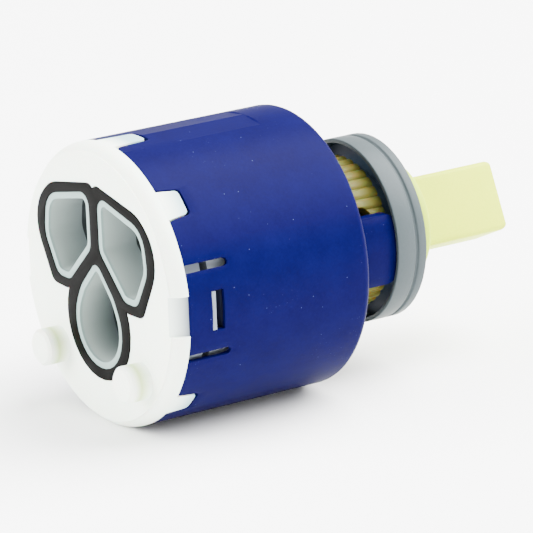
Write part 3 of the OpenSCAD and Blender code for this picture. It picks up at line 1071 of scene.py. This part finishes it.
    def thickened(self, corner: Vector) -> Vector:
        """Moves the inside of the tube's rear part inwards to its full wall.

        Args:
            corner: a corner of the walled tube in metres.

        Returns:
            Its new place in metres.
        """
        low, high = self.thick_places
        inside = self.wall / 2 < self.radius - radius_of(corner) < self.thick_reach
        if inside and low < corner.y / MM < high:
            return on_ring(self.radius - self.thick_wall, corner.y / MM, turn_of(corner))
        return corner

    def is_crease(self, corners: list[Vector]) -> bool:
        """Says whether an edge of the skin is a border of a flat band.

        Args:
            corners: the edge's ends in metres.

        Returns:
            Whether it stays sharp.
        """
        if any(self.is_deep(c) or c.y / MM > self.band_end + NEAR for c in corners):
            return False
        turns = [turn_of(c) for c in corners]
        borders = (self.band_at - self.band_half, self.band_at, self.band_at + self.band_half)
        if apart(*turns) < NEAR and min(apart(turns[0], border) for border in borders) < self.crease_near:
            return max(c.y for c in corners) / MM < self.band_last
        behind = all(c.y / MM > self.band_end - self.band_step - NEAR for c in corners)
        return behind and all(apart(turn, self.band_at) < self.band_half + self.crease_near for turn in turns)

    def is_shoulder_edge(self, corners: list[Vector]) -> bool:
        """Says whether an edge runs round the shoulder's outside."""
        reach = self.radius - self.wall / 2
        return all(radius_of(c) > reach and c.y / MM > self.shoulder - NEAR for c in corners)

    def shell(self) -> Piece:
        """Builds the tube and its shoulder from a spun skin.

        Returns:
            The tube, in object mode.
        """
        line = [(self.radius, place) for place in self.rows()]
        line += [(radius, self.shoulder) for radius in (*self.shoulder_rings, self.neck_bore)]
        piece = chain("housing_shell", [on_ring(radius, place, 0) for radius, place in line])
        columns = self.columns()
        spin([after - before for before, after in zip(columns, columns[1:])])
        pick(piece, Part.FACE, self.is_open)
        bpy.ops.mesh.delete(type="FACE")
        select(Part.CORNER)
        for rule in (self.rounded_slot, self.notched, self.flattened):
            reshape(piece, rule)
        bpy.ops.mesh.remove_doubles(threshold=DOUBLE)
        bpy.ops.mesh.delete_loose()
        pick(piece, Part.EDGE, self.is_crease)
        bpy.ops.mesh.mark_sharp()
        done()
        apply(piece, "SOLIDIFY", thickness=self.wall * MM, offset=-1.0, use_even_offset=True)
        edit(piece)
        reshape(piece, self.thickened)
        pick(piece, Part.EDGE, self.is_shoulder_edge)
        bpy.ops.mesh.bevel(offset=self.shoulder_round * MM, segments=self.shoulder_steps, affect="EDGES")
        done()
        return piece

    def post_corners(self) -> list[float]:
        """Lists the places across a post at which its top needs an edge.

        Returns:
            The places in millimetres from its middle, in order.
        """
        straight = self.post_half - self.post_corner
        turns = range(0, 91, self.post_corner_step)
        arc = [straight + self.post_corner * math.sin(math.radians(turn)) for turn in turns]
        return sorted([-place for place in arc] + [-straight / 2, 0.0, straight / 2] + arc)

    def post_shape(self, corner: Vector) -> Vector:
        """Gives a post's corners, spun round the direction of +X, their flat sides and rounded top.

        Args:
            corner: a corner of the spun post in metres.

        Returns:
            Its new place in metres.
        """
        inner, outer = self.post_radii
        radius = inner if radius_of(corner) < (inner + outer) / 2 else outer
        across = ((turn_of(corner) + 180) % 360 - 180) / self.post_spin * self.post_half
        place = corner.y / MM
        if place > self.post_top - NEAR:
            beyond = min(self.post_corner, max(0.0, abs(across) - self.post_half + self.post_corner))
            place -= self.post_corner - math.sqrt(max(0.0, self.post_corner**2 - beyond**2))
        return Vector((math.sqrt(radius**2 - across**2), place, across)) * MM

    def post(self) -> Piece:
        """Builds the neck post that stands in the direction of +X.

        Returns:
            The post, in object mode.
        """
        inner, outer = self.post_radii
        low = self.shoulder - self.post_root
        corners = [(inner, low), (outer, low), (outer, self.post_top), (inner, self.post_top)]
        points = [on_ring(radius, place, 0) for radius, place in corners]
        piece = chain("neck_post", [*points, points[0]])
        across = self.post_corners()
        widths = [after - before for before, after in zip(across, across[1:])]
        spin([width / self.post_half * self.post_spin for width in widths], self.post_spin)
        bpy.ops.mesh.fill_holes(sides=0)
        done()
        middle = sum((vertex.co for vertex in piece.data.vertices), Vector()) / len(piece.data.vertices)
        piece.data.transform(turning(-turn_of(middle)))
        edit(piece)
        reshape(piece, self.post_shape)
        bpy.ops.mesh.normals_make_consistent(inside=False)
        done()
        return piece

    def build(self) -> None:
        """Builds the housing and dresses it."""
        shell, post = self.shell(), self.post()
        piece = join([shell, post, copy(post, "neck_post", self.tongues[1])])
        soften(piece, self.edges)
        settle(piece, FINISHES.housing.make(), Body.HOUSING, "housing")


@dataclass(frozen=True)
class PortOutline:
    """A port's outline, the tightest band round a few circles of across, up and radius."""

    circles: tuple[Triple, ...]
    step: int = 10

    def holds(self, across: float, up: float, grow: float) -> bool:
        """Says whether a point lies inside the outline grown all round.

        Args:
            across: the point's place along X in millimetres.
            up: the point's place along Z in millimetres.
            grow: how far the outline is grown in millimetres.

        Returns:
            Whether it lies inside.
        """
        for turn in range(0, 360, self.step):
            side, rise = math.cos(math.radians(turn)), math.sin(math.radians(turn))
            reach = max(x * side + z * rise + radius for x, z, radius in self.circles)
            if across * side + up * rise > reach + grow:
                return False
        return True


@dataclass
class PortFace:
    """The white base with its pegs, teeth and snap lugs, and the rubber seal round its ports.

    Its sizes are in millimetres.
    """

    side_port: PortOutline = PortOutline(
        (
            (8.0, 1.5, 1.2), (9.2, 1.5, 1.2), (9.6, 5.6, 2.9),
            (9.15, 7.4, 3.1), (2.9, 11.0, 0.95), (3.35, 6.2, 1.4),
        )
    )
    outlet_port: PortOutline = PortOutline(((0.0, -5.6, 5.2), (0.0, -3.9, 4.4), (0.0, 1.45, 0.7)))
    land: float = 1.15
    port_depths: Pair = (-0.1, 5.6)
    pocket: Pair = (7.0, 8.0)
    pocket_radii: Pair = (17.7, 19.6)
    pocket_half: float = 2.9
    # faces behind this place inside the housing or on the snap lugs get painted shade
    hidden_from: float = 2.35
    hidden_radius: float = 19.6
    lug_from: float = 17.0
    scoop_radii: Pair = (18.2, 19.75)
    scoop_half: float = 2.85
    scoop_middle: float = 1.0
    bead_front: float = -0.1
    bead_round: float = 0.68
    bead_steps: int = 6
    bead_smooth: float = 40.0
    edges: Softening = Softening(width=0.18, steps=3, sharper=35.0, smooth=32.0)

    def is_hidden(self, across: float, depth: float, up: float) -> bool:
        """Says whether a point on the side of +X lies inside the housing or on a snap lug."""
        on_lug = abs(up) < self.scoop_half and across > self.lug_from
        return depth > self.hidden_from and (math.hypot(across, up) < self.hidden_radius or on_lug)

    def is_shaded(self, corners: list[Vector]) -> bool:
        """Says whether a face of the base belongs to a scoop, a pocket or what lies inside the housing.

        Args:
            corners: the face's corners in metres.

        Returns:
            Whether it gets painted shade.
        """
        low, high = self.pocket
        near, far = self.scoop_radii
        places = folded(corners)
        if all(x > self.pocket_radii[0] - NEAR and low - NEAR < y < high + NEAR for x, y, z in places):
            return all(abs(z) < self.pocket_half + NEAR for x, y, z in places)
        if all(self.is_hidden(*place) for place in places):
            return True
        if not all(near < x < far and abs(z) < self.scoop_half for x, y, z in places):
            return False
        heights = [z for x, y, z in places]
        return max(heights) > self.scoop_middle and min(heights) < -self.scoop_middle

    def is_port(self, corners: list[Vector]) -> bool:
        """Says whether a face of the base belongs to a port or to the land round it.

        Args:
            corners: the face's corners in metres.

        Returns:
            Whether it gets the ports' painted shade.
        """
        low, high = self.port_depths
        places = folded(corners)
        if any(not low < y < high for x, y, z in places):
            return False
        ports = (self.side_port, self.outlet_port)
        return any(all(port.holds(x, z, self.land) for x, y, z in places) for port in ports)

    def pocket_cutter(self) -> Piece:
        """Builds the cutter of the dark pocket behind the snap lug on the side of +X.

        Returns:
            The cutter, in object mode.
        """
        near, far = self.pocket_radii
        low, high = self.pocket
        half = self.pocket_half
        points = [Vector((x, y, -half)) * MM for x, y in ((near, low), (far, low), (far, high), (near, high))]
        return prism("pocket_cutter", points, Vector((0, 0, 2 * half)) * MM)

    def build(self) -> None:
        """Builds the base and its seal."""
        base = from_node("base", "port_base")
        cutter = self.pocket_cutter()
        for pocket in (cutter, copy(cutter, "pocket_cutter", 180.0)):
            cut(base, pocket)
        soften(base, self.edges)
        settle(base, FINISHES.base.make(), Body.HOUSING, "base")
        # painted shade on the scoops, on the base inside the housing and in the pockets
        assign(base, FINISHES.painted_recess_shade.make(), self.is_shaded)
        # painted shade in the ports and on the lands round them
        assign(base, FINISHES.ports.make(), self.is_port)
        seal = from_node("port_seal", "lobed_seal")
        edit(seal)
        pick(seal, Part.EDGE, lambda ends: all(c.y / MM < self.bead_front for c in ends))
        bpy.ops.mesh.bevel(
            offset=self.bead_round * MM, segments=self.bead_steps, affect="EDGES", clamp_overlap=True
        )
        done()
        smooth(seal, self.bead_smooth)
        settle(seal, FINISHES.seal.make(), Body.HOUSING, "port_seal")


@dataclass
class Limiter:
    """The yellow toothed ring round the neck; lengths are in millimetres and angles in degrees."""

    root: float = 10.6
    tip: float = 10.95
    bore: float = 8.75
    low: float = 32.3
    high: float = 41.45
    teeth: int = 40
    points_each: int = 8
    tooth_power: float = 3.4
    arches: Pair = (27.0, 153.0)
    arch_half: float = 1.3
    arch_top: float = 39.0
    arch_depth: float = 4.0
    arch_steps: int = 12
    margin: float = 1.0
    edges: Softening = Softening(width=0.07, steps=2, sharper=55.0, smooth=50.0)

    def tooth_radius(self, turn: float) -> float:
        """Gives the toothed outline's radius.

        Args:
            turn: angle round the axis in degrees.

        Returns:
            The radius in millimetres.
        """
        pitch = 360 / self.teeth
        phase = abs(turn / pitch - round(turn / pitch)) * 2
        return self.root + (self.tip - self.root) * (1 - min(1.0, phase) ** self.tooth_power)

    def ring_rule(self, place: float, radius: float | None) -> Callable[[Vector], Vector]:
        """Gives the rule that puts a corner at a place along the axis.

        Args:
            place: the place in millimetres.
            radius: the corner's new radius in millimetres, or None to put it on the teeth.

        Returns:
            The rule.
        """

        def move(corner: Vector) -> Vector:
            """Puts one corner in its place."""
            turn = turn_of(corner)
            return on_ring(self.tooth_radius(turn) if radius is None else radius, place, turn)

        return move

    def arch(self) -> Piece:
        """Builds the cutter of an arched opening in the direction of +X.

        Returns:
            The cutter, in object mode.
        """
        spring, foot = self.arch_top - self.arch_half, self.low - self.margin
        outline = [(-self.arch_half, foot), (self.arch_half, foot)]
        for step in range(self.arch_steps + 1):
            angle = math.pi * step / self.arch_steps
            outline.append((self.arch_half * math.cos(angle), spring + self.arch_half * math.sin(angle)))
        points = [Vector((self.bore - self.margin, place, across)) * MM for across, place in outline]
        return prism("arch_cutter", points, Vector((self.arch_depth * MM, 0, 0)))

    def build(self) -> None:
        """Builds the ring and dresses it."""
        piece = add(
            "toothed_ring",
            bpy.ops.mesh.primitive_circle_add,
            vertices=self.teeth * self.points_each,
            radius=self.tip * MM,
            location=(0, self.low * MM, 0),
            rotation=(math.radians(90), 0, 0),
        )
        bpy.ops.object.transform_apply(location=True, rotation=True, scale=True)
        edit(piece)
        reshape(piece, self.ring_rule(self.low, None))
        select(Part.EDGE)
        low, high, bore = self.low, self.high, self.bore
        for place, radius in ((high, None), (high, bore), (low, bore), (low, None)):
            bpy.ops.mesh.extrude_edges_move(TRANSFORM_OT_translate={"value": (0, 0, 0)})
            reshape(piece, self.ring_rule(place, radius))
        weld()
        done()
        arch = self.arch()
        for turn in self.arches:
            cut(piece, copy(arch, "arch_cutter", turn))
        bpy.data.objects.remove(arch)
        soften(piece, self.edges)
        settle(piece, FINISHES.limiter.make(), Body.LIMITER, "limiter_ring")


@dataclass
class Collar:
    """The grey collar with its groove and thin skirt; lengths are in millimetres."""

    outer: float = 13.3
    inner: float = 12.65
    neck: float = 8.62
    low: float = 41.15
    floor: float = 44.0
    high: float = 46.0
    groove: Pair = (44.1, 44.7)
    groove_depth: float = 0.3
    groove_slant: float = 0.12
    margin: float = 0.1
    widest: float = 2.5
    edges: Softening = Softening(width=0.16, steps=3, sharper=35.0, smooth=35.0)

    def is_inside(self, corners: list[Vector]) -> bool:
        """Says whether a face of the collar lies on the inside of its skirt."""
        reach, floor = self.inner + self.margin, self.floor + self.margin
        return all(radius_of(c) < reach and c.y / MM < floor for c in corners)

    def build(self) -> None:
        """Builds the collar and dresses it, with the rotor's lighter, bluer slate inside its skirt as painted
        light.
        """
        low, high = self.groove
        deep, slant = self.outer - self.groove_depth, self.groove_slant
        profile = [
            (self.inner, self.low), (self.outer, self.low), (self.outer, low), (deep, low + slant),
            (deep, high - slant), (self.outer, high), (self.outer, self.high), (self.neck, self.high),
            (self.neck, self.floor), (self.inner, self.floor),
        ]
        piece = turned("collar", profile, self.widest)
        soften(piece, self.edges)
        settle(piece, FINISHES.collar.make(), Body.ROTOR, "collar_ring")
        # painted light: the shaded inside of the skirt takes the rotor's lifted bluish slate
        assign(piece, FINISHES.rotor.make(), self.is_inside)


@dataclass
class Lever:
    """The lever with its blade, its round shield and its foot; lengths are in millimetres."""

    shield_bore: float = 0.4
    shield_radius: float = 8.7
    shield_low: float = 48.6
    shield_high: float = 50.18
    shield_widest: float = 4.0
    shield_edges: Softening = Softening(width=0.5, steps=4, sharper=35.0, smooth=35.0)
    edges: Softening = Softening(width=0.2, steps=3, sharper=35.0, smooth=32.0)

    def build(self) -> None:
        """Builds the lever and the shield and dresses the foot and the pin."""
        lever = from_node("lever", "lever_blade")
        soften(lever, self.edges)
        settle(lever, FINISHES.lever.make(), Body.LEVER, "lever")
        profile = [
            (self.shield_bore, self.shield_low), (self.shield_radius, self.shield_low),
            (self.shield_radius, self.shield_high), (self.shield_bore, self.shield_high),
        ]
        shield = turned("lever_collar", profile, self.shield_widest)
        soften(shield, self.shield_edges)
        settle(shield, FINISHES.shield.make(), Body.LEVER, "lever_shield")
        dress(FINISHES.foot.make(), "lever_foot")
        dress(FINISHES.pin.make(), "lever_pin")


@dataclass
class InnerStack:
    """The inner pieces, whose CAD shapes stay."""

    seals: tuple[str, ...] = (
        "hot_disc_seal", "cold_disc_seal", "outlet_disc_seal", "carrier_seal", "rotor_o_ring",
    )
    discs: tuple[str, str] = ("fixed_disc", "moving_disc")
    washers: tuple[str, str] = ("glide_washer", "thrust_washer")

    def build(self) -> None:
        """Dresses the inner pieces."""
        dress(FINISHES.inner_seal.make(), *self.seals)
        dress(FINISHES.ceramic.make(), *self.discs)
        dress(FINISHES.carrier.make(), "disc_carrier")
        # painted light: the rotor's slate is lifted and blued where it shows in the collar's shade
        dress(FINISHES.rotor.make(), "rotor")
        dress(FINISHES.washer.make(), *self.washers)


@dataclass(frozen=True)
class Softbox:
    """A square soft light: its name, its place and side in metres, and its power in watts."""

    name: str
    place: Triple
    side: float
    power: float

    def hang(self, aim: Triple) -> None:
        """Hangs the light.

        Args:
            aim: the point that it faces in metres.
        """
        lamp = add(self.name, bpy.ops.object.light_add, type="AREA", location=self.place)
        lamp.data.shape = "SQUARE"
        lamp.data.size = self.side
        lamp.data.energy = self.power
        direction = Vector(aim) - Vector(self.place)
        lamp.rotation_euler = direction.to_track_quat("-Z", "Y").to_euler()


@dataclass
class Studio:
    """The pale floor, the soft light and the photograph's camera, in metres."""

    floor_height: float = -0.02
    floor_size: float = 30.0
    floor_colour: Colour = (0.9, 0.9, 0.9)
    floor_cloud: Colour = (0.92, 0.92, 0.92)
    floor_clouds: float = 3.0
    floor_rough: float = 0.9
    sky_greys: tuple[Pair, ...] = ((0.0, 0.8), (0.35, 0.7), (1.0, 1.0))
    sky_strength: float = 2.6
    softboxes: tuple[Softbox, ...] = (
        Softbox("overhead_softbox", (0.25, 0.65, 0.95), 1.3, 140.0),
        Softbox("front_softbox", (-0.35, -1.0, 0.45), 0.8, 42.0),
    )
    aim: Triple = (0.0, 0.03, 0.0)
    camera_place: Triple = (0.47288, -0.27754, 0.16746)
    camera_right: Triple = (0.55154683, 0.83327629, -0.03803576)
    camera_up: Triple = (-0.22129568, 0.190136, 0.95649178)
    camera_back: Triple = (0.80425389, -0.51913286, 0.28926935)
    sensor: float = 36.0
    lens: float = 282.5
    sight: Pair = (0.01, 60.0)

    def floor(self) -> None:
        """Lays the floor that the cartridge lies on."""
        place = (0, 0, self.floor_height)
        floor = add("studio_floor", bpy.ops.mesh.primitive_plane_add, size=self.floor_size, location=place)
        material = bpy.data.materials.new("pale_floor")
        tree = Tree(material)
        tone = tree.blend(tree.noise(tree.place(), self.floor_clouds), self.floor_colour, self.floor_cloud)
        tree.surface({"Base Color": tone, "Roughness": self.floor_rough, "Specular IOR Level": 0.0})
        floor.data.materials.append(material)

    def sky(self) -> None:
        """Fills the studio with soft light that is brighter overhead."""
        world = bpy.data.worlds.new("studio")
        bpy.context.scene.world = world
        tree = Tree(world)
        direction = tree.node("ShaderNodeTexCoord", {})["Generated"]
        up = tree.node("ShaderNodeSeparateXYZ", {"Vector": direction})["Z"]
        stops = [(place, (grey, grey, grey)) for place, grey in self.sky_greys]
        ramp = tree.node("ShaderNodeValToRGB", {"Fac": up}, stops=stops)["Color"]
        light = {"Color": ramp, "Strength": self.sky_strength}
        shine = tree.node("ShaderNodeBackground", light)["Background"]
        tree.node("ShaderNodeOutputWorld", {"Surface": shine})

    def camera(self) -> None:
        """Puts the camera where the photograph was taken."""
        camera = add("photo_camera", bpy.ops.object.camera_add)
        camera.data.sensor_width = self.sensor
        camera.data.lens = self.lens
        camera.data.clip_start, camera.data.clip_end = self.sight
        turn = Matrix((self.camera_right, self.camera_up, self.camera_back)).transposed()
        camera.matrix_world = Matrix.Translation(self.camera_place) @ turn.to_4x4()
        bpy.context.scene.camera = camera

    def build(self) -> None:
        """Builds the whole studio."""
        self.floor()
        self.sky()
        for softbox in self.softboxes:
            softbox.hang(self.aim)
        self.camera()
        LOG.info("studio ready")


def main() -> None:
    """Builds the cartridge's visible pieces and the studio."""
    logging.basicConfig(level=logging.INFO, format="%(name)s: %(message)s")
    for assembly in (Studio(), Housing(), PortFace(), Limiter(), Collar(), Lever(), InnerStack()):
        assembly.build()
    clear()


if __name__ == "__main__":
    main()
